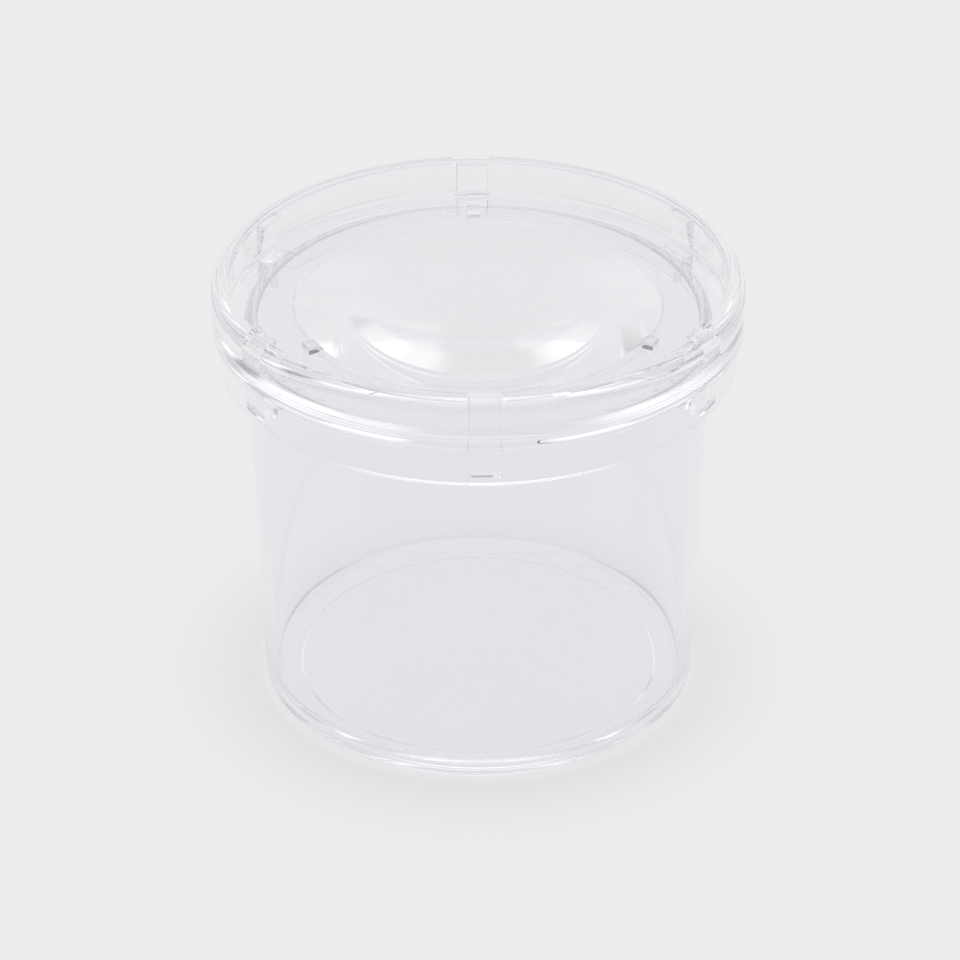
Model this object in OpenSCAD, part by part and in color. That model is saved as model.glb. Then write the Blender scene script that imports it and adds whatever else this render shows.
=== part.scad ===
// Bug viewer: a clear pot with a lift-off lid that holds a magnifying lens.
// The pot stands on z = 0 with its axis on Z, and its front faces -Y.

/* [Pot] */
// Outside diameter of the pot at its base
pot_base_d = 58.8; // [52:0.2:62]
// Outside diameter of the pot at its mouth
pot_mouth_d = 61.4; // [56:0.2:66]
// Height of the pot from the table to its mouth
pot_h = 52.6; // [35:0.2:80]
// Thickness of the pot's wall
pot_wall = 1.7; // [1.2:0.1:2.6]
// Thickness of the pot's floor above the table
pot_floor = 2.2; // [1.4:0.1:4]
// Fillet inside the pot, where its wall meets its floor
pot_fillet = 1.2; // [0.4:0.1:4]
// Rounding of the pot's outer bottom edge
pot_edge = 1; // [0.2:0.1:1.4]
// Rounding of the two edges of the pot's mouth
mouth_round = 0.5; // [0.1:0.05:0.55]
// Width of the foot ring that the pot stands on
foot_w = 5; // [2:0.2:10]
// Depth of the recess inside the foot ring
foot_h = 0.6; // [0.2:0.1:1]

/* [Lid ring] */
// Air gap between the pot's mouth and the inside of the skirt
air_gap = 1.9; // [1:0.1:3]
// Thickness of the rim above the lens floor
rim_wall = 2.4; // [1.6:0.1:4]
// Height of the rim above the lens floor
rim_h = 4.8; // [3.6:0.1:10]
// Rounding of the rim's outer top edge
rim_round = 2.2; // [0.5:0.1:4]
// Rounding of the rim's inner top edge
rim_inner_round = 0.2; // [0.05:0.05:0.5]
// Fillet in the corner between the rim and the lens floor
recess_fillet = 0.3; // [0.1:0.05:1]
// Thickness of the lens floor
web_t = 3.2; // [1.8:0.1:4]
// Height of the wide band, from the top of the rim down
band_h = 7.2; // [5:0.1:9]
// Rounding of the band's lower edge
band_round = 0.25; // [0.05:0.05:0.4]
// Thickness of the skirt below the band
skirt_wall = 1.55; // [1.1:0.05:2.2]
// Reach of the skirt below the lens floor
skirt_h = 4.5; // [3:0.1:9]
// Rounding of the skirt's two lower edges
skirt_round = 0.3; // [0.05:0.05:0.5]

/* [Lid ribs] */
// Number of ribs round the lid, above and below the lens floor
rib_count = 6; // [3:1:12]
// Turn of the first rib from the front, to the viewer's right
rib_turn = 1.5; // [-30:0.5:30]
// Width of a rib where it leaves the wall
rib_root_w = 4.4; // [3:0.1:7]
// Width of a rib's inner face
rib_face_w = 4.2; // [1.5:0.1:5]
// Height that an upper rib stands proud of the rim at its top
rib_proud = 1.25; // [0.5:0.05:2]
// Height that an upper rib stands proud of the rim at its foot
rib_foot = 0.4; // [0.3:0.05:0.6]
// Drop of a rib's end behind the edge of the rim or skirt
rib_drop = 0.55; // [0.5:0.05:1.2]
// Slanted lead-in at the foot of a lower rib
rib_lead = 0.5; // [0.3:0.1:2.5]
// Radial clearance between a lower rib and the pot's mouth
lid_clearance = 0.1; // [0.05:0.01:0.3]

/* [Lens] */
// Diameter of the magnifying lens
lens_d = 48.6; // [36:0.2:52]
// Height of the lens's dome above the lens floor
lens_top = 3.6; // [1:0.1:4]
// Width of the ledge that the lens rests on
ledge_w = 0.6; // [0.4:0.1:2]
// Thickness of the ledge that the lens rests on
ledge_t = 0.5; // [0.4:0.1:1]

/* [Lens lugs] */
// Number of lugs that hold the lens
lug_count = 3; // [3:1:6]
// Width of a lug
lug_w = 1.7; // [1:0.1:3]
// Radial thickness of a lug behind the lens
lug_t = 1.6; // [0.8:0.1:2.4]
// Reach of a lug's nose over the edge of the lens
lug_nose = 0.6; // [0.2:0.05:0.8]
// Height of a lug's nose
lug_nose_h = 0.8; // [0.5:0.1:1.2]
// Clearance round the lens and under the lugs
lens_clearance = 0.05; // [0.02:0.01:0.2]

/* [Hidden] */
$fn = 128;
// Steps in each rounded corner of an outline
arc_steps = 8;
// How far a rib or lug is sunk into the wall or floor that it grows from
root = 0.6;

// Radii and heights of the pot
base_r = pot_base_d / 2;
mouth_r = pot_mouth_d / 2;
foot_r = base_r - foot_w;

// Heights of the lid, which rests on the pot's mouth
web_z = pot_h;
floor_z = web_z + web_t;
rim_z = floor_z + rim_h;
skirt_z = web_z - skirt_h;
band_z = rim_z - band_h;

// Radii of the lid, which clears the pot's mouth by the air gap
rim_in_r = mouth_r + air_gap;
rim_out_r = rim_in_r + rim_wall;
skirt_out_r = rim_in_r + skirt_wall;
rim_edge = min(rim_round, rim_wall - rim_inner_round);

// The lens, the bore that it lies in and the ledge that it rests on
lens_r = lens_d / 2;
bore_r = lens_r + lens_clearance;
ledge_r = lens_r - ledge_w;
ledge_z = web_z + ledge_t;
dome_r = (lens_r * lens_r + lens_top * lens_top) / (2 * lens_top);

// Reach of the lower ribs, the wider of the pot's two radii within the skirt
grip_r = max(mouth_r, pot_r(skirt_z)) + lid_clearance;
// A lug stands back from the bore's edge
lug_in_r = bore_r + lens_clearance;
// The nose clears the dome as it rises towards the middle
nose_z = floor_z + lens_clearance + dome_rise(lens_r - lug_nose);

plastic = [0.9, 0.89, 0.92, 0.4];
optic = [0.86, 0.88, 0.94, 0.5];

// Outside radius of the pot's tapered wall at height z
function pot_r(z) = base_r + (mouth_r - base_r) * z / pot_h;

// Height of the lens's dome above the lens floor at radius r
function dome_rise(r) = sqrt(dome_r * dome_r - r * r) - (dome_r - lens_top);

// Points of a rounded corner about a centre, from angle a0 to angle a1
function corner(cx, cz, r, a0, a1) =
    [for (i = [0 : arc_steps])
        let (a = a0 + (a1 - a0) * i / arc_steps)
        [cx + r * cos(a), cz + r * sin(a)]];

module pot() {
    inner_r = pot_r(pot_floor + pot_fillet) - pot_wall;
    lip_r = mouth_r - pot_wall;
    lip_z = pot_h - mouth_round;
    color(plastic)
        rotate_extrude()
            polygon(concat(
                [[0, foot_h], [foot_r, foot_h], [foot_r, 0]],
                corner(base_r - pot_edge, pot_edge, pot_edge, -90, 0),
                corner(mouth_r - mouth_round, lip_z, mouth_round, 0, 90),
                corner(lip_r + mouth_round, lip_z, mouth_round, 90, 180),
                corner(inner_r - pot_fillet, pot_floor + pot_fillet, pot_fillet, 0, -90),
                [[0, pot_floor]]));
}

module lid() {
    color(plastic) {
        lid_ring();
        for (i = [0 : rib_count - 1])
            rotate(rib_turn - 90 + i * 360 / rib_count) {
                upper_rib();
                lower_rib();
            }
        for (i = [0 : lug_count - 1])
            rotate(rib_turn + 90 + i * 360 / lug_count)
                lens_lug();
    }
}

// The lid's ring: rim and band above, lens floor with its bore and ledge, skirt below
module lid_ring() {
    rotate_extrude()
        polygon(concat(
            [[ledge_r, web_z], [rim_in_r, web_z]],
            corner(rim_in_r + skirt_round, skirt_z + skirt_round, skirt_round, 180, 270),
            corner(skirt_out_r - skirt_round, skirt_z + skirt_round, skirt_round, -90, 0),
            [[skirt_out_r, band_z]],
            corner(rim_out_r - band_round, band_z + band_round, band_round, -90, 0),
            corner(rim_out_r - rim_edge, rim_z - rim_edge, rim_edge, 0, 90),
            corner(rim_in_r + rim_inner_round, rim_z - rim_inner_round, rim_inner_round, 90, 180),
            corner(rim_in_r - recess_fillet, floor_z + recess_fillet, recess_fillet, 0, -90),
            [[bore_r, floor_z], [bore_r, ledge_z], [ledge_r, ledge_z]]));
}

// A wedge on the inside of the rim, proudest at its top, that runs down to the lens floor
module upper_rib() {
    rib(rim_in_r - rib_proud, floor_z - root, rim_z)
        polygon([
            [rim_in_r - rib_foot, floor_z - root],
            [rim_in_r - rib_proud, rim_z - rib_drop],
            [rim_in_r + root, rim_z - rib_drop],
            [rim_in_r + root, floor_z - root]]);
}

// A rib under the lens floor that guides and grips the pot's mouth
module lower_rib() {
    rib(grip_r, skirt_z, web_z + root)
        polygon([
            [grip_r, web_z + root],
            [grip_r, skirt_z + rib_drop + rib_lead],
            [rim_in_r + root, skirt_z + rib_drop],
            [rim_in_r + root, web_z + root]]);
}

// A side outline in radius and height, given a rib's plan between two heights
module rib(face_r, low_z, high_z) {
    intersection() {
        side_slab(rib_root_w)
            children();
        translate([0, 0, low_z])
            linear_extrude(high_z - low_z)
                polygon([
                    [face_r, -rib_face_w / 2],
                    [rim_in_r, -rib_root_w / 2],
                    [rim_in_r + root, -rib_root_w / 2],
                    [rim_in_r + root, rib_root_w / 2],
                    [rim_in_r, rib_root_w / 2],
                    [face_r, rib_face_w / 2]]);
    }
}

// An outline in radius and height, drawn out sideways to the given width
module side_slab(width) {
    translate([0, width / 2, 0])
        rotate([90, 0, 0])
            linear_extrude(width)
                children();
}

// An upright lug with a nose over the edge of the lens
module lens_lug() {
    side_slab(lug_w)
        polygon([
            [lug_in_r, floor_z - root],
            [lug_in_r, nose_z],
            [lens_r - lug_nose, nose_z],
            [lug_in_r, nose_z + lug_nose_h],
            [lug_in_r + lug_t, nose_z + lug_nose_h],
            [lug_in_r + lug_t, floor_z - root]]);
}

// The lens: flat below and flush with the lens floor's underside, domed above
module magnifier_lens() {
    color(optic) {
        translate([0, 0, web_z])
            cylinder(r = ledge_r - lens_clearance, h = web_t);
        translate([0, 0, ledge_z])
            cylinder(r = lens_r, h = web_t - ledge_t);
        translate([0, 0, floor_z])
            lens_dome();
    }
}

// The lens's dome, standing on z = 0
module lens_dome() {
    intersection() {
        translate([0, 0, lens_top - dome_r])
            sphere(r = dome_r);
        cylinder(r = lens_r, h = lens_top);
    }
}

pot();
lid();
magnifier_lens();
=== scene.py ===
"""Bug viewer: a clear pot, its lift-off lid and the magnifying lens that snaps into the lid."""
import math

import bmesh
import bpy
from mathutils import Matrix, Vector


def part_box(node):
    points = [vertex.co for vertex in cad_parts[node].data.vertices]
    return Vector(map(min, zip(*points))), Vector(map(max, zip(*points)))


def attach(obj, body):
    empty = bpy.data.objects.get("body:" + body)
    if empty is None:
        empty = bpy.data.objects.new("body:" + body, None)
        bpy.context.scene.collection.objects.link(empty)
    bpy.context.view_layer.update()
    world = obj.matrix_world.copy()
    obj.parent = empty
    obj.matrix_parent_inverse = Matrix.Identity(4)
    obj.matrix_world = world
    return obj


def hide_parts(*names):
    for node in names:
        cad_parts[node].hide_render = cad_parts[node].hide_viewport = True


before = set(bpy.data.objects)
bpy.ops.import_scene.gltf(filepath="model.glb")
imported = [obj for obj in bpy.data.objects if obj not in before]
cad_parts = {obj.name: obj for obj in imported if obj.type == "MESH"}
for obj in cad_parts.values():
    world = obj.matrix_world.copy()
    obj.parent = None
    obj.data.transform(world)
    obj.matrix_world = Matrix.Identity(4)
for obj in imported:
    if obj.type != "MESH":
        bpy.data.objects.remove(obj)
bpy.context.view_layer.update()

bl_info = {
    "name": "Bug viewer",
    "version": (1, 0, 0),
    "blender": (4, 5, 0),
    "location": "View3D > Sidebar > Bug viewer",
    "description": "Models a clear magnifying bug viewer over its packed frame",
    "category": "Add Mesh",
}

MM = 0.001

# Vertices nearer than this are one vertex
MERGE_GAP = 0.001 * MM
# A vertex this near a place is at it
NEAR = 0.01 * MM
# Air left where one clear piece rests on another, so that each face bends light as a face of its own
HAIRLINE = 0.02 * MM
# Edges that turn by more than this stay crisp
CRISP_ANGLE = math.radians(35)
# Steps in a wide rounding, and in a small one
WIDE_STEPS = 14
SMALL_STEPS = 6
# Roundings up to this radius are small ones
SMALL_RADIUS = 0.4 * MM
# Steps across a lug
LUG_STEPS = 4
# Two angles nearer than this are the same
SAME_TURN = math.radians(0.05)
# Sectors that a whole turn is copied from
SPIN_SECTORS = 12
# The spin operator turns clockwise about its axis, so this one goes anticlockwise about +Z
SPIN_AXIS = (0, 0, -1)
# Weighted normals lean wholly on the larger of two faces
NORMAL_WEIGHT = 100
# Degrees that the rounding of the lens's edge turns before it meets the dome
EDGE_SWEEP = 70
# Height of the step at the top of an upper rib
RIB_STEP = 0.03 * MM

# Smears on the plastic: their scale against the ripples, their detail, and the noise values where
# haze starts and is full
SMEAR_SCALE = 0.4
SMEAR_DETAIL = 6.0
SMEAR_START = 0.45
SMEAR_FULL = 0.75
# Shift of each piece's ripples and smears in metres, so that no two pieces have the same ones
POT_SHIFT = 0.0
LID_SHIFT = 0.3
LENS_SHIFT = 0.6

# Width of the camera's sensor in millimetres, and how much nearer and further than the target it sees
SENSOR_W = 36
CLIP_FACTOR = 100

# Soft lamps and dim gaps in the studio's surround, in degrees: azimuth and elevation of its middle,
# half its width, half its height, the softness of its edges, how much it adds, and how much its
# painted pool of light adds to the floor's glow behind the pot, where a dim gap paints shade. The last three
# are the light overhead and the two halves of the dim side of the studio, behind the camera
SOFT_LAMPS = (
    (-43, 19, 11, 12, 7, 0.26, 0.3),
    (-29, 19, 7, 12, 6, 0.22, 0.17),
    (24, 19, 11, 12, 6, 0.22, 0.17),
    (41, 19, 10, 12, 7, 0.32, 0.3),
    (-27, 38, 10, 6, 3, 0.36, 0.0),
    (27, 38, 10, 6, 3, 0.36, 0.0),
    (57, 17, 5, 12, 3, -0.4, -0.3),
    (-74, 17, 7, 14, 5, -0.3, 0.0),
    (68, 25, 4, 10, 3, 0.5, 0.0),
    (0, 90, 200, 28, 8, 0.6, 0.0),
    (150, 25, 40, 25, 10, -0.3, 0.0),
    (-150, 25, 40, 25, 10, -0.3, 0.0),
)

# Light runs down inside the pot's wall by many reflections before it leaves
LIGHT_BOUNCES = 128

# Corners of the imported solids, which the outlines below fill
POT_LOW, POT_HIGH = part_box("pot")
LID_LOW, LID_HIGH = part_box("lid")
LENS_LOW, LENS_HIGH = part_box("magnifier_lens")


def length(name, description, default):
    """A length in metres that a user may change."""
    return bpy.props.FloatProperty(
        name=name, description=description, default=default, min=0.0, precision=5,
        subtype="DISTANCE", unit="LENGTH")


def angle(name, description, degrees):
    """An angle that a user may change, given here in degrees."""
    return bpy.props.FloatProperty(
        name=name, description=description, default=math.radians(degrees),
        subtype="ANGLE", unit="ROTATION")


def number(name, description, default):
    """A plain number that a user may change."""
    return bpy.props.FloatProperty(name=name, description=description, default=default, precision=4)


def count(name, description, default):
    """A whole number that a user may change."""
    return bpy.props.IntProperty(name=name, description=description, default=default, min=3)


def colour(name, description, default):
    """A colour that a user may change, as linear red, green and blue."""
    return bpy.props.FloatVectorProperty(
        name=name, description=description, default=default, size=3, min=0.0, max=1.0,
        subtype="COLOR")


class PotSizes(bpy.types.PropertyGroup):
    """Sizes of the pot."""
    base_r: length("Base radius", "Outside radius of the pot at its base", 29.4 * MM)
    mouth_r: length("Mouth radius", "Outside radius of the pot at its mouth", POT_HIGH.x)
    height: length("Height", "Height of the pot from the table to its mouth", POT_HIGH.z)
    wall: length("Wall", "Thickness of the pot's wall", 1.7 * MM)
    floor: length("Floor", "Height of the inside floor above the table", 2.2 * MM)
    fillet: length("Fillet", "Fillet inside, between wall and floor", 1.2 * MM)
    edge: length("Bottom edge", "Rounding of the outer bottom edge", 1 * MM)
    mouth_round: length("Mouth rounding", "Rounding of the two edges of the mouth", 0.5 * MM)
    foot_w: length("Foot width", "Width of the foot ring", 5 * MM)
    foot_h: length("Foot height", "Depth of the recess inside the foot ring", 0.6 * MM)
    foot_round: length("Foot rounding", "Rounding of the foot ring's inner edge", 0.29 * MM)
    steps: count("Steps", "Steps round the pot", 480)


class LidSizes(bpy.types.PropertyGroup):
    """Sizes of the lid's ring, ribs and lugs."""
    rim_wall: length("Rim wall", "Thickness of the rim above the lens floor", 2.4 * MM)
    rim_round: length("Rim rounding", "Rounding of the rim's outer top edge", 2.2 * MM)
    inner_round: length("Inner rounding", "Rounding of the rim's inner top edge", 0.2 * MM)
    fillet: length("Recess fillet", "Fillet between the rim and the lens floor", 0.3 * MM)
    web: length("Lens floor", "Thickness of the lens floor", 3.2 * MM)
    band_h: length("Band height", "Height of the wide band, from the rim's top down", 7.2 * MM)
    band_round: length("Band rounding", "Rounding of the band's lower edge", 0.25 * MM)
    skirt_wall: length("Skirt wall", "Thickness of the skirt below the band", 1.55 * MM)
    skirt_round: length("Skirt rounding", "Rounding of the skirt's lower edges", 0.3 * MM)
    rib_count: count("Ribs", "Ribs round the lid, above and below the lens floor", 6)
    rib_turn: angle("Rib turn", "Turn of the first rib from the front, to the right", 1.5)
    rib_root_w: length("Rib root", "Width of a rib where it leaves the wall", 4.4 * MM)
    rib_face_w: length("Rib face", "Width of a rib's inner face", 4.2 * MM)
    rib_proud: length("Rib top", "How proud an upper rib stands at its top", 1.25 * MM)
    rib_foot: length("Rib foot", "How proud an upper rib stands at its foot", 0.4 * MM)
    rib_drop: length("Rib drop", "Drop of a rib's end behind the rim or skirt", 0.55 * MM)
    rib_lead: length("Rib lead-in", "Slanted lead-in at the foot of a lower rib", 0.5 * MM)
    rib_root: length("Rib root depth", "How far a rib is sunk into the ring", 0.6 * MM)
    rib_gap: length("Rib clearance", "Clearance between a lower rib and the pot", 0.1 * MM)
    lug_count: count("Lugs", "Lugs that hold the lens", 3)
    lug_w: length("Lug width", "Width of a lug", 1.7 * MM)
    lug_t: length("Lug thickness", "Radial thickness of a lug", 1.6 * MM)
    lug_nose: length("Lug nose", "Reach of a lug's nose over the lens", 0.6 * MM)
    lug_nose_h: length("Lug nose height", "Height of a lug's nose", 0.8 * MM)
    plain_steps: count("Steps", "Steps round the plain wall on each side of a rib", 26)


class LensSizes(bpy.types.PropertyGroup):
    """Sizes of the magnifying lens."""
    radius: length("Radius", "Radius of the lens", LENS_HIGH.x)
    edge_round: length("Edge rounding", "Rounding of the lens's upper edge", 0.25 * MM)
    ledge_w: length("Ledge width", "Width of the ledge that the lens rests on", 0.6 * MM)
    ledge_t: length("Ledge thickness", "Thickness of the ledge that the lens rests on", 0.5 * MM)
    gap: length("Clearance", "Clearance round the lens and under the lugs", 0.05 * MM)
    dome_steps: count("Dome steps", "Steps from the edge of the dome to its middle", 96)
    steps: count("Steps", "Steps round the lens", 480)


class PlasticLook(bpy.types.PropertyGroup):
    """Colour and finish of the clear plastic."""
    pot_tint: colour("Pot tint", "Colour that the pot's outer faces pass", (0.937, 0.929, 0.977))
    lid_tint: colour("Lid tint", "Colour that the lid's plastic passes", (0.982, 0.978, 0.997))
    lens_tint: colour("Lens tint", "Colour that the lens passes", (0.988, 0.985, 1.0))
    refraction: number("Refraction", "Index of refraction of the plastic", 1.57)
    ripple_w: length("Ripple width", "Width of the mould's soft ripples", 9 * MM)
    ripple_h: length("Ripple height", "Height of the mould's soft ripples", 0.008 * MM)
    polish: number("Polish", "Roughness where the plastic is cleanest", 0.0)
    haze: number("Haze", "Roughness where the plastic is hazed by handling", 0.04)
    frost: number("Frost", "Roughness of the small lugs, which the mould leaves unpolished", 0.2)


class StudioLook(bpy.types.PropertyGroup):
    """Floor, light and camera."""
    floor_tone: colour("Floor", "Colour of the floor", (0.847, 0.847, 0.847))
    floor_glow: number("Floor glow", "Share of the floor's look that is even, and holds no shadow", 0.95)
    # Beside the pot less of the floor glows, so its own shadow shows more there and the darker plain floor
    # paints a shade round the base. Under the pot more glows, as painted light that comes through the
    # plastic
    near_glow: number("Near glow", "The same share beside the pot", 0.75)
    lit_glow: number("Lit glow", "The same share under the pot, where light comes through its plastic", 0.96)
    lit_r: length("Lit radius", "Radius of the floor that is lit through the pot", 28 * MM)
    near_r: length("Near radius", "Radius of the floor beside the pot", 31 * MM)
    far_r: length("Far radius", "Radius where the pot's shadow has faded", 42 * MM)
    floor_w: length("Floor width", "Width of the floor", 6.0)
    floor_drop: length("Floor drop", "Air under the foot ring", 0.05 * MM)
    # The pools of light behind the pot are painted on the floor's glow, and a dim gap paints shade there
    pool_near: length("Pool start", "Distance from the pot where the lamps' pools of light start", 0.235)
    pool_full: length("Pool full", "Distance from the pot where the pools of light are full", 0.26)
    sky: number("Sky", "Brightness of the studio's pale surround", 0.79)
    camera_rise: angle("Camera rise", "Angle of the camera above the table", 31.067)
    camera_far: length("Camera distance", "Distance of the camera from its target", 533.2 * MM)
    target_x: number("Target across", "Place of the camera's target across the table", 0.226 * MM)
    target_z: length("Target height", "Height of the camera's target", 28.493 * MM)
    focal: number("Focal length", "Focal length in millimetres on a 36 mm sensor", 148.23)


# Outlines and the meshes drawn from them

def corner(centre_r, centre_z, radius, start, end):
    """Points of a rounded corner in radius and height, from one angle in degrees to another."""
    steps = SMALL_STEPS if radius <= SMALL_RADIUS else WIDE_STEPS
    turns = [math.radians(start + (end - start) * i / steps) for i in range(steps + 1)]
    return [(centre_r + radius * math.cos(a), centre_z + radius * math.sin(a)) for a in turns]


def draw_outline(name, outline, turn=0.0):
    """A new mesh that holds an outline of radii and heights, drawn vertex by vertex."""
    points = [Vector((r * math.cos(turn), r * math.sin(turn), z)) for r, z in outline]
    bpy.ops.object.select_all(action="DESELECT")
    bpy.ops.mesh.primitive_plane_add(size=MM, location=(0, 0, 0))
    piece = bpy.context.object
    piece.name = piece.data.name = name
    bpy.ops.object.mode_set(mode="EDIT")
    bpy.ops.mesh.select_mode(type="VERT")
    bpy.ops.mesh.select_all(action="SELECT")
    bpy.ops.mesh.merge(type="CENTER")
    bpy.ops.transform.translate(value=points[0])
    for here, there in zip(points, points[1:]):
        bpy.ops.mesh.extrude_region_move(TRANSFORM_OT_translate={"value": there - here})
    return piece


def spin_outline(stages):
    """Spins the outline that is being edited about the pot's axis, by angles in so many steps each."""
    bpy.ops.mesh.select_all(action="SELECT")
    for sweep, steps in stages:
        bpy.ops.mesh.spin(steps=steps, angle=sweep, center=(0, 0, 0), axis=SPIN_AXIS)
    merge_all()


def copy_round(copies, pitch):
    """Adds copies of the whole mesh, each a pitch further round the pot's axis."""
    bpy.ops.mesh.select_all(action="SELECT")
    bpy.ops.mesh.spin(steps=copies, dupli=True, angle=copies * pitch, center=(0, 0, 0), axis=SPIN_AXIS)
    merge_all()


def spin_whole(steps):
    """Spins the outline that is being edited into a whole turn, by way of a few like sectors."""
    pitch = math.tau / SPIN_SECTORS
    spin_outline([(pitch, steps // SPIN_SECTORS)])
    copy_round(SPIN_SECTORS - 1, pitch)


def merge_all():
    """Merges doubles over the whole mesh."""
    bpy.ops.mesh.select_all(action="SELECT")
    bpy.ops.mesh.remove_doubles(threshold=MERGE_GAP)


def select_vertices(piece, wanted):
    """Selects the vertices whose place is wanted, and nothing else."""
    bpy.ops.mesh.select_mode(type="VERT")
    bpy.ops.mesh.select_all(action="DESELECT")
    shape = bmesh.from_edit_mesh(piece.data)
    for vertex in shape.verts:
        vertex.select = wanted(vertex.co)
    shape.select_flush(True)
    bmesh.update_edit_mesh(piece.data)


def select_faces(piece, wanted):
    """Selects the faces whose middle is wanted, and nothing else."""
    bpy.ops.mesh.select_mode(type="FACE")
    bpy.ops.mesh.select_all(action="DESELECT")
    shape = bmesh.from_edit_mesh(piece.data)
    for face in shape.faces:
        if wanted(face.calc_center_median()):
            face.select_set(True)
    bmesh.update_edit_mesh(piece.data)


def close_mesh(piece):
    """Leaves edit mode with a closed mesh whose faces point outwards and whose roundings are smooth."""
    merge_all()
    bpy.ops.mesh.normals_make_consistent(inside=False)
    shape = bmesh.from_edit_mesh(piece.data)
    if any(len(edge.link_faces) != 2 for edge in shape.edges):
        raise RuntimeError(f"{piece.name} isn't closed")
    bpy.ops.object.mode_set(mode="OBJECT")
    bpy.ops.object.shade_smooth_by_angle(angle=CRISP_ANGLE)
    bpy.ops.object.modifier_add(type="WEIGHTED_NORMAL")
    steady = piece.modifiers[-1]
    steady.keep_sharp = True
    steady.weight = NORMAL_WEIGHT
    bpy.ops.object.modifier_apply(modifier=steady.name)


def hand_over(piece, node, body, material):
    """Puts a finished piece on its body, in place of the node that it shows."""
    piece.data.materials.clear()
    piece.data.materials.append(material)
    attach(piece, body)
    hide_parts(node)


# Materials

def with_numbers(nodes, links, operation, value, *numbers):
    """A value put through a maths node with plain numbers."""
    maths = nodes.new("ShaderNodeMath")
    maths.operation = operation
    links.new(value, maths.inputs[0])
    for socket, plain in zip(maths.inputs[1:], numbers):
        socket.default_value = plain
    return maths.outputs["Value"]


def join(nodes, links, operation, first, second):
    """Two values put through a maths node together."""
    joined = nodes.new("ShaderNodeMath")
    joined.operation = operation
    links.new(first, joined.inputs[0])
    links.new(second, joined.inputs[1])
    return joined.outputs["Value"]


def ramp(nodes, links, value, start, end, low=0.0, high=1.0, smooth=False):
    """A value that goes from low to high as another goes from start to end, and stays there past either."""
    mapped = nodes.new("ShaderNodeMapRange")
    mapped.interpolation_type = "SMOOTHSTEP" if smooth else "LINEAR"
    for socket, plain in zip(("From Min", "From Max", "To Min", "To Max"), (start, end, low, high)):
        mapped.inputs[socket].default_value = plain
    links.new(value, mapped.inputs["Value"])
    return mapped.outputs["Result"]


def radius_and_height(nodes, links):
    """Distance of a place from the pot's axis, and its height."""
    place = nodes.new("ShaderNodeTexCoord")
    flat = nodes.new("ShaderNodeMapping")
    flat.inputs["Scale"].default_value = (1.0, 1.0, 0.0)
    links.new(place.outputs["Object"], flat.inputs["Vector"])
    radius = nodes.new("ShaderNodeVectorMath")
    radius.operation = "LENGTH"
    links.new(flat.outputs["Vector"], radius.inputs[0])
    split = nodes.new("ShaderNodeSeparateXYZ")
    links.new(place.outputs["Object"], split.inputs["Vector"])
    return radius.outputs["Value"], split.outputs["Z"]


def tint_outside(material, pot):
    """Keeps the pot's tint to its outer faces, so that its wall has one tint up to its very edge."""
    nodes, links = material.node_tree.nodes, material.node_tree.links
    shader = nodes["Principled BSDF"]
    radius, height = radius_and_height(nodes, links)
    upright = nodes.new("ShaderNodeMath")
    upright.operation = "MULTIPLY_ADD"
    upright.inputs[1].default_value = (pot.base_r - pot.mouth_r) / pot.height
    links.new(height, upright.inputs[0])
    links.new(radius, upright.inputs[2])
    beyond = with_numbers(nodes, links, "GREATER_THAN", upright.outputs["Value"], pot.base_r - pot.wall / 2)
    below = with_numbers(nodes, links, "LESS_THAN", height, (pot.foot_h + pot.floor) / 2)
    mix = nodes.new("ShaderNodeMix")
    mix.data_type = "RGBA"
    colours = [socket for socket in mix.inputs if socket.type == "RGBA"]
    colours[0].default_value = (1.0, 1.0, 1.0, 1.0)
    colours[1].default_value = shader.inputs["Base Color"].default_value
    links.new(join(nodes, links, "MAXIMUM", beyond, below), mix.inputs["Factor"])
    tinted = [socket for socket in mix.outputs if socket.type == "RGBA"]
    links.new(tinted[0], shader.inputs["Base Color"])


def bond_seam(material, look, bond):
    """Drops the index of refraction to 1 on the bonded faces, which light crosses without bending."""
    middle_r, half_w, middle_z, half_h = bond
    nodes, links = material.node_tree.nodes, material.node_tree.links
    radius, height = radius_and_height(nodes, links)
    at_edge = with_numbers(nodes, links, "COMPARE", radius, middle_r, half_w)
    at_height = with_numbers(nodes, links, "COMPARE", height, middle_z, half_h)
    bonded = join(nodes, links, "MULTIPLY", at_edge, at_height)
    index = ramp(nodes, links, bonded, 0.0, 1.0, look.refraction, 1.0)
    links.new(index, nodes["Principled BSDF"].inputs["IOR"])


def frost_lugs(material, look, line):
    """Leaves the lugs unpolished, so that the light caught in them comes out soft."""
    nodes, links = material.node_tree.nodes, material.node_tree.links
    rough = nodes["Principled BSDF"].inputs["Roughness"]
    radius, height = radius_and_height(nodes, links)
    within = with_numbers(nodes, links, "LESS_THAN", radius, line.lug_out_r + NEAR)
    above = with_numbers(nodes, links, "GREATER_THAN", height, line.floor_z + NEAR)
    frost = with_numbers(nodes, links, "MULTIPLY", join(nodes, links, "MULTIPLY", within, above), look.frost)
    links.new(join(nodes, links, "MAXIMUM", rough.links[0].from_socket, frost), rough)


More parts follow.
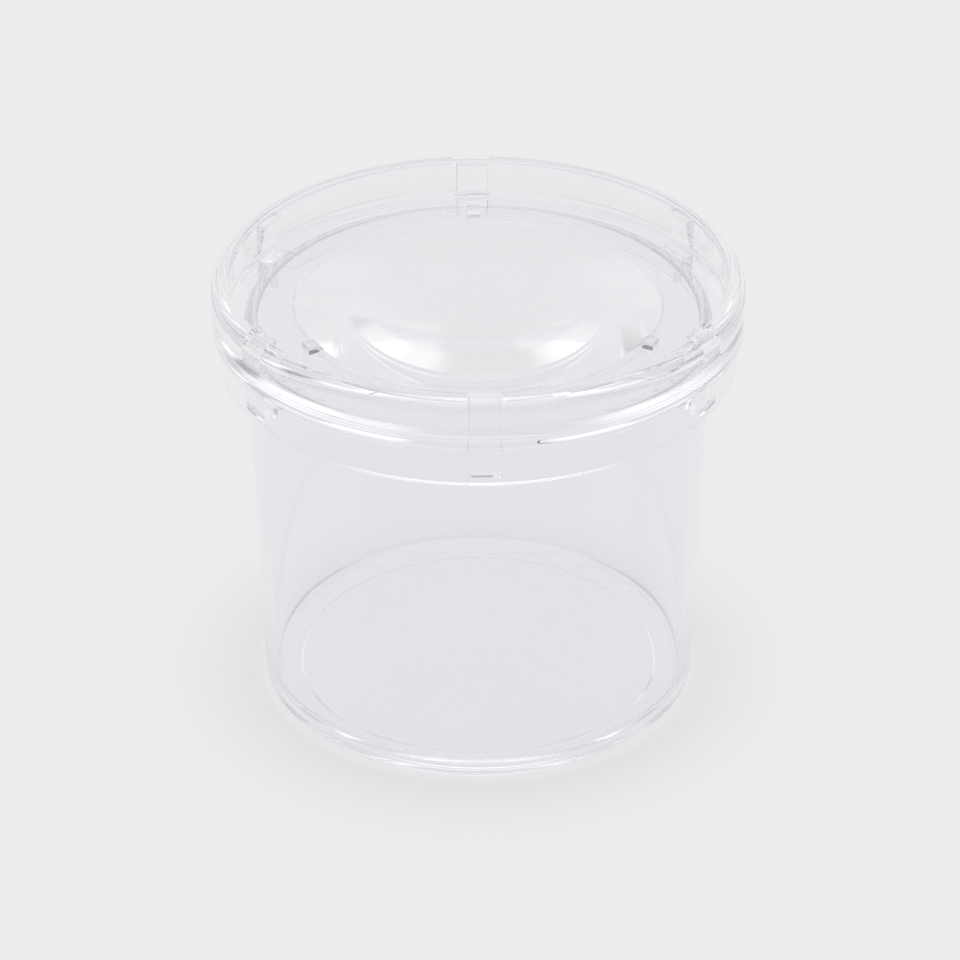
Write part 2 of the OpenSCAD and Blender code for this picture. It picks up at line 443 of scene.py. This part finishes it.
def clear_plastic(name, tint, look, shift):
    """Clear moulded plastic: polished, softly rippled by its mould and hazed a little by handling."""
    material = bpy.data.materials.new(name)
    material.use_nodes = True
    nodes, links = material.node_tree.nodes, material.node_tree.links
    shader = nodes["Principled BSDF"]
    shader.inputs["Base Color"].default_value = (*tint, 1.0)
    shader.inputs["Transmission Weight"].default_value = 1.0
    shader.inputs["IOR"].default_value = look.refraction
    place = nodes.new("ShaderNodeTexCoord")
    mapping = nodes.new("ShaderNodeMapping")
    mapping.inputs["Location"].default_value = (shift, shift, 0.0)
    links.new(place.outputs["Object"], mapping.inputs["Vector"])
    ripple = nodes.new("ShaderNodeTexNoise")
    ripple.inputs["Scale"].default_value = 1.0 / look.ripple_w
    ripple.inputs["Detail"].default_value = 0.0
    links.new(mapping.outputs["Vector"], ripple.inputs["Vector"])
    bump = nodes.new("ShaderNodeBump")
    bump.inputs["Strength"].default_value = 1.0
    bump.inputs["Distance"].default_value = look.ripple_h
    links.new(ripple.outputs["Fac"], bump.inputs["Height"])
    links.new(bump.outputs["Normal"], shader.inputs["Normal"])
    smear = nodes.new("ShaderNodeTexNoise")
    smear.inputs["Scale"].default_value = SMEAR_SCALE / look.ripple_w
    smear.inputs["Detail"].default_value = SMEAR_DETAIL
    links.new(mapping.outputs["Vector"], smear.inputs["Vector"])
    haze = ramp(nodes, links, smear.outputs["Fac"], SMEAR_START, SMEAR_FULL, look.polish, look.haze)
    links.new(haze, shader.inputs["Roughness"])
    return material


# Pot

def pot_outline(pot):
    """The pot's section: foot recess, foot ring, tapered wall, mouth, inner wall and floor."""
    foot_r = pot.base_r - pot.foot_w
    lip_z = pot.height - HAIRLINE - pot.mouth_round
    taper = (pot.mouth_r - pot.base_r) / pot.height
    fillet_z = pot.floor + pot.fillet
    inner_r = pot.base_r + taper * fillet_z - pot.wall
    lip_r = pot.mouth_r - pot.wall
    soft = pot.foot_round
    return [
        (0, pot.foot_h),
        *corner(foot_r - soft, pot.foot_h - soft, soft, 90, 0),
        *corner(foot_r + soft, soft, soft, 180, 270),
        *corner(pot.base_r - pot.edge, pot.edge, pot.edge, -90, 0),
        *corner(pot.mouth_r - pot.mouth_round, lip_z, pot.mouth_round, 0, 90),
        *corner(lip_r + pot.mouth_round, lip_z, pot.mouth_round, 90, 180),
        *corner(inner_r - pot.fillet, fillet_z, pot.fillet, 0, -90),
        (0, pot.floor),
    ]


class BUGVIEWER_OT_pot(bpy.types.Operator):
    """Add the clear pot with its foot ring and rounded mouth"""
    bl_idname = "bug_viewer.add_pot"
    bl_label = "Add pot"

    def execute(self, context):
        pot, look = context.scene.viewer_pot, context.scene.viewer_plastic
        piece = draw_outline("clear_pot", pot_outline(pot))
        spin_whole(pot.steps)
        close_mesh(piece)
        plastic = clear_plastic("clear_pot_plastic", look.pot_tint, look, POT_SHIFT)
        tint_outside(plastic, pot)
        hand_over(piece, "pot", "pot", plastic)
        return {"FINISHED"}


# Lid

class LidLines:
    """Radii, heights and angles of the lid, worked out from its sizes and the pot and lens it fits."""

    def __init__(self, scene):
        pot, lid, lens = scene.viewer_pot, scene.viewer_lid, scene.viewer_lens
        self.rim_out_r = LID_HIGH.x
        self.rim_in_r = self.rim_out_r - lid.rim_wall
        self.skirt_out_r = self.rim_in_r + lid.skirt_wall
        self.web_z = pot.height
        self.floor_z = self.web_z + lid.web
        self.rim_z = LID_HIGH.z
        self.skirt_z = LID_LOW.z
        self.band_z = self.rim_z - lid.band_h
        self.bore_r = lens.radius + lens.gap
        self.ledge_r = lens.radius - lens.ledge_w
        self.ledge_z = self.web_z + lens.ledge_t
        self.grip_r = pot.mouth_r + lid.rib_gap
        self.rib_top_z = self.rim_z - lid.rib_drop
        self.lead_z = self.skirt_z + lid.rib_drop + lid.rib_lead
        reach = self.rim_in_r - self.grip_r
        self.lead_foot_z = self.lead_z - lid.rib_lead * reach / (reach + lid.rib_root)
        self.lug_in_r = self.bore_r + lens.gap
        self.lug_out_r = self.lug_in_r + lid.lug_t
        self.nose_r = lens.radius - lid.lug_nose
        nose_rise = dome_rise(self.nose_r, lens.radius, LENS_HIGH.z - self.floor_z)
        self.nose_z = self.floor_z + lens.gap + nose_rise
        bond_top_z = self.floor_z - lens.edge_round
        self.bond = (
            (self.bore_r + self.ledge_r) / 2, (self.bore_r - self.ledge_r) / 2 + 2 * lens.gap,
            (bond_top_z + self.web_z) / 2, (bond_top_z - self.web_z) / 2 - NEAR)
        self.pitch = math.tau / lid.rib_count
        self.lug_at = lid.rib_turn + math.pi / 2
        self.root_turn = math.asin(lid.rib_root_w / 2 / self.rim_in_r)
        self.face_turn = math.asin(lid.rib_face_w / 2 / self.rim_in_r)
        self.lug_turn = math.asin(lid.lug_w / 2 / self.lug_in_r)
        self.outwards = Vector((math.cos(self.lug_at), math.sin(self.lug_at), 0))

    def off_rib(self, place):
        """Angle between a place and the middle of the rib that is being shaped."""
        return abs(Vector((place.x, place.y)).angle_signed(self.outwards.xy))

    def stages(self, plain_steps):
        """Spins that lay out one rib's share of the lid, with steps at the edges of rib and lug."""
        plain = (self.pitch / 2 - self.root_turn, plain_steps)
        flank = (self.root_turn - self.face_turn, 1)
        shoulder = (self.face_turn - self.lug_turn, 1)
        return [plain, flank, shoulder, (2 * self.lug_turn, LUG_STEPS), shoulder, flank, plain]


def lid_outline(lid, line):
    """The lid's closed section: lens floor, skirt, band, rim, recess, and the lens's bore and ledge."""
    edge = min(lid.rim_round, lid.rim_wall - lid.inner_round)
    soft = lid.skirt_round
    points = [
        (line.ledge_r, line.web_z),
        (line.rim_in_r, line.web_z),
        (line.rim_in_r, line.lead_z),
        (line.rim_in_r, line.lead_foot_z),
        *corner(line.rim_in_r + soft, line.skirt_z + soft, soft, 180, 270),
        *corner(line.skirt_out_r - soft, line.skirt_z + soft, soft, -90, 0),
        (line.skirt_out_r, line.band_z),
        *corner(line.rim_out_r - lid.band_round, line.band_z + lid.band_round, lid.band_round, -90, 0),
        *corner(line.rim_out_r - edge, line.rim_z - edge, edge, 0, 90),
        *corner(line.rim_in_r + lid.inner_round, line.rim_z - lid.inner_round, lid.inner_round, 90, 180),
        (line.rim_in_r, line.rib_top_z + RIB_STEP),
        (line.rim_in_r, line.rib_top_z),
        *corner(line.rim_in_r - lid.fillet, line.floor_z + lid.fillet, lid.fillet, 0, -90),
        (line.lug_out_r, line.floor_z),
        (line.lug_in_r, line.floor_z),
        (line.bore_r, line.floor_z),
        (line.bore_r, line.ledge_z),
        (line.ledge_r, line.ledge_z),
    ]
    return points + points[:1]


def push_rib(piece, line, row, proud):
    """Pushes one row of the inner wall inwards across the rib's face."""
    row_r, row_z = row
    push = proud - (line.rim_in_r - row_r)
    if push > MERGE_GAP:
        select_vertices(piece, lambda co: (
            abs(co.z - row_z) < NEAR
            and abs(co.xy.length - row_r) < NEAR
            and line.off_rib(co) < line.face_turn + SAME_TURN))
        bpy.ops.transform.translate(value=-push * line.outwards)


def shape_ribs(piece, lid, line):
    """Pushes the upper and the lower rib out of one sector's inner wall."""
    foot_z = line.floor_z - lid.rib_root
    slope = (lid.rib_proud - lid.rib_foot) / (line.rib_top_z - foot_z)
    fillet = corner(line.rim_in_r - lid.fillet, line.floor_z + lid.fillet, lid.fillet, 0, -90)
    for row in [(line.rim_in_r, line.rib_top_z), *fillet]:
        push_rib(piece, line, row, lid.rib_foot + slope * (row[1] - foot_z))
    grip = line.rim_in_r - line.grip_r
    for row_z in (line.web_z, line.lead_z):
        push_rib(piece, line, (line.rim_in_r, row_z), grip)


def shape_lug(piece, lid, line):
    """Draws a lug up out of the lens floor, and its nose in over the lens."""
    top_z = line.nose_z + lid.lug_nose_h
    reach = line.lug_in_r - line.nose_r

    def on_lug(place):
        """True for a place over the lug's footprint."""
        inside = line.lug_in_r - NEAR < place.xy.length < line.lug_out_r + NEAR
        return inside and line.off_rib(place) < line.lug_turn + SAME_TURN

    select_faces(piece, lambda middle: (
        on_lug(middle) and abs(middle.z - line.floor_z) < NEAR))
    for rise in (line.nose_z - line.floor_z, lid.lug_nose_h):
        bpy.ops.mesh.extrude_region_move(TRANSFORM_OT_translate={"value": (0, 0, rise)})
    select_faces(piece, lambda middle: (
        on_lug(middle) and line.nose_z < middle.z < top_z - NEAR
        and middle.xy.length < line.lug_in_r + NEAR))
    bpy.ops.mesh.extrude_region_move(TRANSFORM_OT_translate={"value": -reach * line.outwards})
    select_vertices(piece, lambda co: (
        abs(co.z - top_z) < NEAR and co.xy.length < line.lug_in_r - reach / 2))
    bpy.ops.transform.translate(value=reach * line.outwards)
    merge_all()


class BUGVIEWER_OT_lid(bpy.types.Operator):
    """Add the clear lid: one sector with its ribs, copied round, then the lugs that hold the lens"""
    bl_idname = "bug_viewer.add_lid"
    bl_label = "Add lid"

    def execute(self, context):
        lid, look = context.scene.viewer_lid, context.scene.viewer_plastic
        line = LidLines(context.scene)
        piece = draw_outline("clear_lid", lid_outline(lid, line), line.lug_at - line.pitch / 2)
        spin_outline(line.stages(lid.plain_steps))
        shape_ribs(piece, lid, line)
        copy_round(1, line.pitch)
        shape_lug(piece, lid, line)
        copy_round(lid.lug_count - 1, math.tau / lid.lug_count)
        close_mesh(piece)
        plastic = clear_plastic("clear_lid_plastic", look.lid_tint, look, LID_SHIFT)
        bond_seam(plastic, look, line.bond)
        frost_lugs(plastic, look, line)
        hand_over(piece, "lid", "lid", plastic)
        return {"FINISHED"}


# Lens

def dome_rise(r, edge_r, rise):
    """Height of a dome above its edge at radius r."""
    dome_r = (edge_r ** 2 + rise ** 2) / (2 * rise)
    return math.sqrt(dome_r ** 2 - r ** 2) - (dome_r - rise)


def lens_outline(lens, floor_z):
    """The lens's section: flat underside, step over the ledge, edge, and dome."""
    step_z = LENS_LOW.z + lens.ledge_t + HAIRLINE
    step_r = lens.radius - lens.ledge_w - lens.gap
    rise = LENS_HIGH.z - floor_z
    soft = lens.edge_round
    crown_r = lens.radius - soft
    radii = [crown_r * (1 - i / lens.dome_steps) for i in range(lens.dome_steps + 1)]
    return [
        (0, LENS_LOW.z),
        (step_r, LENS_LOW.z),
        (step_r, step_z),
        (lens.radius, step_z),
        *corner(lens.radius - soft, floor_z - soft, soft, 0, EDGE_SWEEP),
        *[(r, floor_z + dome_rise(r, lens.radius, rise)) for r in radii],
    ]


class BUGVIEWER_OT_lens(bpy.types.Operator):
    """Add the magnifying lens, flat below and domed above"""
    bl_idname = "bug_viewer.add_lens"
    bl_label = "Add lens"

    def execute(self, context):
        scene = context.scene
        lens, look = scene.viewer_lens, scene.viewer_plastic
        line = LidLines(scene)
        piece = draw_outline("magnifying_lens", lens_outline(lens, line.floor_z))
        spin_whole(lens.steps)
        close_mesh(piece)
        plastic = clear_plastic("lens_plastic", look.lens_tint, look, LENS_SHIFT)
        bond_seam(plastic, look, line.bond)
        hand_over(piece, "magnifier_lens", "lid", plastic)
        return {"FINISHED"}


# Stage

def angle_fade(nodes, links, turn, middle, half, soft):
    """A factor of 1 where an angle is within half a width of a middle, fading softly to 0 past its edges."""
    off = with_numbers(nodes, links, "SUBTRACT", turn, math.radians(middle))
    away = with_numbers(nodes, links, "ABSOLUTE", off)
    return ramp(nodes, links, away, math.radians(half + soft), math.radians(half - soft), smooth=True)


def add_product(nodes, links, factors, scale, total):
    """Adds a scaled product of two factors to a total."""
    added = nodes.new("ShaderNodeMath")
    added.operation = "MULTIPLY_ADD"
    added.inputs[1].default_value = scale
    links.new(join(nodes, links, "MULTIPLY", *factors), added.inputs[0])
    if isinstance(total, float):
        added.inputs[2].default_value = total
    else:
        links.new(total, added.inputs[2])
    return added.outputs["Value"]


def azimuth_of(nodes, links, split):
    """Angle of a place or direction round the pot's axis. 0 is behind the pot, and it turns to the right."""
    return join(nodes, links, "ARCTAN2", split.outputs["X"], split.outputs["Y"])


def painted_light_pools(nodes, links, mapping, away, studio):
    """Strength of the floor's glow: 1 round the pot, and more behind it, where pools of light are painted at
    the lamps' azimuths, and less where a dim gap paints shade.
    """
    split = nodes.new("ShaderNodeSeparateXYZ")
    links.new(mapping.outputs["Vector"], split.inputs["Vector"])
    azimuth = azimuth_of(nodes, links, split)
    reach = ramp(nodes, links, away, studio.pool_near, studio.pool_full, smooth=True)
    total = 1.0
    for middle_az, middle_el, half_w, half_h, soft, added, pool in SOFT_LAMPS:
        if pool:
            across = angle_fade(nodes, links, azimuth, middle_az, half_w, soft)
            total = add_product(nodes, links, (across, reach), pool, total)
    return total


def pale_floor(studio):
    """The plain pale floor under the pot, which looks even but for a share of its own shadows, painted light
    under the pot, painted shade round its base and painted pools of light behind it.
    """
    bpy.ops.object.select_all(action="DESELECT")
    bpy.ops.mesh.primitive_plane_add(size=studio.floor_w, location=(0, 0, -studio.floor_drop))
    floor = bpy.context.object
    floor.name = "pale_floor"
    material = bpy.data.materials.new("pale_floor_paper")
    material.use_nodes = True
    nodes, links = material.node_tree.nodes, material.node_tree.links
    shader = nodes["Principled BSDF"]
    shader.inputs["Base Color"].default_value = (*studio.floor_tone, 1.0)
    shader.inputs["Roughness"].default_value = 1.0
    shader.inputs["Specular IOR Level"].default_value = 0.0
    glow = nodes.new("ShaderNodeEmission")
    glow.inputs["Color"].default_value = (*studio.floor_tone, 1.0)
    path = nodes.new("ShaderNodeLightPath")
    seen = join(nodes, links, "MAXIMUM", path.outputs["Is Camera Ray"], path.outputs["Is Glossy Ray"])
    through = join(nodes, links, "MAXIMUM", seen, path.outputs["Is Transmission Ray"])
    place = nodes.new("ShaderNodeTexCoord")
    mapping = nodes.new("ShaderNodeMapping")
    links.new(place.outputs["Object"], mapping.inputs["Vector"])
    away = nodes.new("ShaderNodeVectorMath")
    away.operation = "LENGTH"
    links.new(mapping.outputs["Vector"], away.inputs[0])
    far = away.outputs["Value"]
    # Painted light and shade: the glowing share is raised under the pot to paint the light that comes
    # through its plastic, and lowered round its base, where the floor's own shadow shows more and a painted
    # shade is added to it
    even = ramp(nodes, links, far, studio.lit_r, studio.near_r, studio.lit_glow, studio.near_glow)
    fade = ramp(nodes, links, far, studio.near_r, studio.far_r, 0.0, studio.floor_glow - studio.near_glow)
    share = join(nodes, links, "MULTIPLY", through, join(nodes, links, "ADD", even, fade))
    # Pools of light, and one of shade, painted on the floor's glow behind the pot
    links.new(painted_light_pools(nodes, links, mapping, far, studio), glow.inputs["Strength"])
    mix = nodes.new("ShaderNodeMixShader")
    links.new(share, mix.inputs["Fac"])
    links.new(shader.outputs["BSDF"], mix.inputs[1])
    links.new(glow.outputs["Emission"], mix.inputs[2])
    links.new(mix.outputs["Shader"], nodes["Material Output"].inputs["Surface"])
    floor.data.materials.append(material)


def studio_world(studio):
    """A pale surround with soft lamps and dim gaps in it. Azimuth 0 is behind the pot and turns right."""
    world = bpy.data.worlds.new("studio")
    world.use_nodes = True
    bpy.context.scene.world = world
    nodes, links = world.node_tree.nodes, world.node_tree.links
    place = nodes.new("ShaderNodeTexCoord")
    split = nodes.new("ShaderNodeSeparateXYZ")
    links.new(place.outputs["Generated"], split.inputs["Vector"])
    azimuth = azimuth_of(nodes, links, split)
    elevation = with_numbers(nodes, links, "ARCSINE", split.outputs["Z"])
    total = studio.sky
    for middle_az, middle_el, half_w, half_h, soft, added, pool in SOFT_LAMPS:
        across = angle_fade(nodes, links, azimuth, middle_az, half_w, soft)
        up = angle_fade(nodes, links, elevation, middle_el, half_h, soft)
        total = add_product(nodes, links, (across, up), added, total)
    links.new(total, nodes["Background"].inputs["Strength"])
    nodes["Background"].inputs["Color"].default_value = (1, 1, 1, 1)


def photo_camera(studio):
    """The camera at the photograph's angle."""
    rise = studio.camera_rise
    back = Vector((0, -math.cos(rise), math.sin(rise)))
    target = Vector((studio.target_x, 0, studio.target_z))
    data = bpy.data.cameras.new("camera")
    data.sensor_width = SENSOR_W
    data.lens = studio.focal
    data.clip_start = studio.camera_far / CLIP_FACTOR
    data.clip_end = studio.camera_far * CLIP_FACTOR
    camera = bpy.data.objects.new("camera", data)
    bpy.context.scene.collection.objects.link(camera)
    camera.location = target + back * studio.camera_far
    camera.rotation_euler = (-back).to_track_quat("-Z", "Y").to_euler()
    bpy.context.scene.camera = camera


class BUGVIEWER_OT_stage(bpy.types.Operator):
    """Add the floor, the studio light and the camera"""
    bl_idname = "bug_viewer.add_stage"
    bl_label = "Add stage"

    def execute(self, context):
        scene, studio = context.scene, context.scene.viewer_studio
        pale_floor(studio)
        studio_world(studio)
        photo_camera(studio)
        scene.view_settings.view_transform = "Standard"
        scene.cycles.max_bounces = LIGHT_BOUNCES
        scene.cycles.transmission_bounces = LIGHT_BOUNCES
        scene.cycles.glossy_bounces = LIGHT_BOUNCES
        return {"FINISHED"}


class BUGVIEWER_PT_panel(bpy.types.Panel):
    """The bug viewer's pieces and stage"""
    bl_idname = "BUGVIEWER_PT_panel"
    bl_label = "Bug viewer"
    bl_space_type = "VIEW_3D"
    bl_region_type = "UI"
    bl_category = "Bug viewer"

    def draw(self, context):
        for operator in OPERATORS:
            self.layout.operator(operator.bl_idname)


OPERATORS = (BUGVIEWER_OT_pot, BUGVIEWER_OT_lens, BUGVIEWER_OT_lid, BUGVIEWER_OT_stage)
GROUPS = {
    "viewer_pot": PotSizes,
    "viewer_lid": LidSizes,
    "viewer_lens": LensSizes,
    "viewer_plastic": PlasticLook,
    "viewer_studio": StudioLook,
}


def register():
    """Registers the properties, operators and panel."""
    for name, group in GROUPS.items():
        bpy.utils.register_class(group)
        setattr(bpy.types.Scene, name, bpy.props.PointerProperty(type=group))
    for cls in (*OPERATORS, BUGVIEWER_PT_panel):
        bpy.utils.register_class(cls)


def unregister():
    """Takes them away again."""
    for cls in (BUGVIEWER_PT_panel, *reversed(OPERATORS)):
        bpy.utils.unregister_class(cls)
    for name, group in GROUPS.items():
        delattr(bpy.types.Scene, name)
        bpy.utils.unregister_class(group)


def main():
    """Builds the viewer and its stage."""
    register()
    bpy.ops.bug_viewer.add_pot()
    bpy.ops.bug_viewer.add_lens()
    bpy.ops.bug_viewer.add_lid()
    bpy.ops.bug_viewer.add_stage()


if __name__ == "__main__":
    main()
